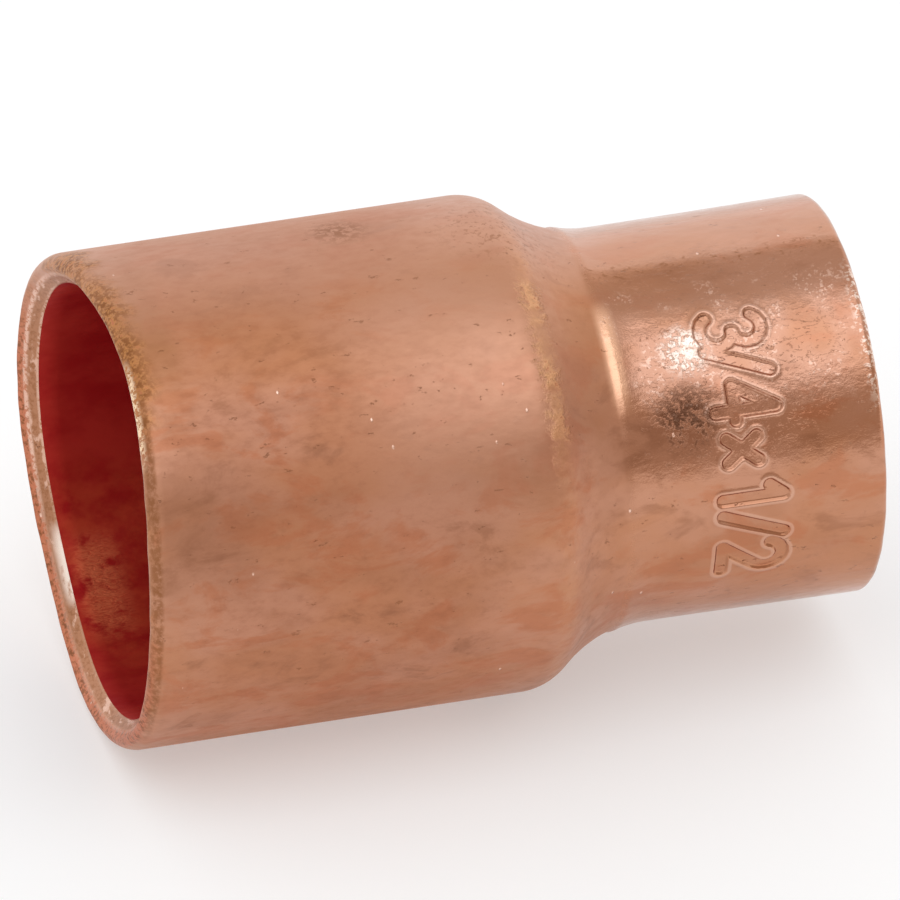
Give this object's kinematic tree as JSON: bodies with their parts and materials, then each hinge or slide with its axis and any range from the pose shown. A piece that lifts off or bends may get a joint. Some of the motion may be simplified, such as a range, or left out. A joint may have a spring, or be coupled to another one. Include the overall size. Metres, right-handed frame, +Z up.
{
  "type": "concentric reducer",
  "caption": "Seamless copper solder-joint reducer: wide male end, short cone and a narrower cup with a tube stop.",
  "frame": {"origin": "on the axis, at the centre of the small cup's tube stop", "axes": "+X along the axis, out of the small cup's mouth; +Z up as the part lies on its side, on the large end's wall"},
  "size_m": [0.0347, 0.0222, 0.0222],
  "materials": {
    "copper": "satin, lightly tarnished bare copper"
  },
  "bodies": {
    "root": {"reducer_body": "copper"}
  },
  "joints": []
}
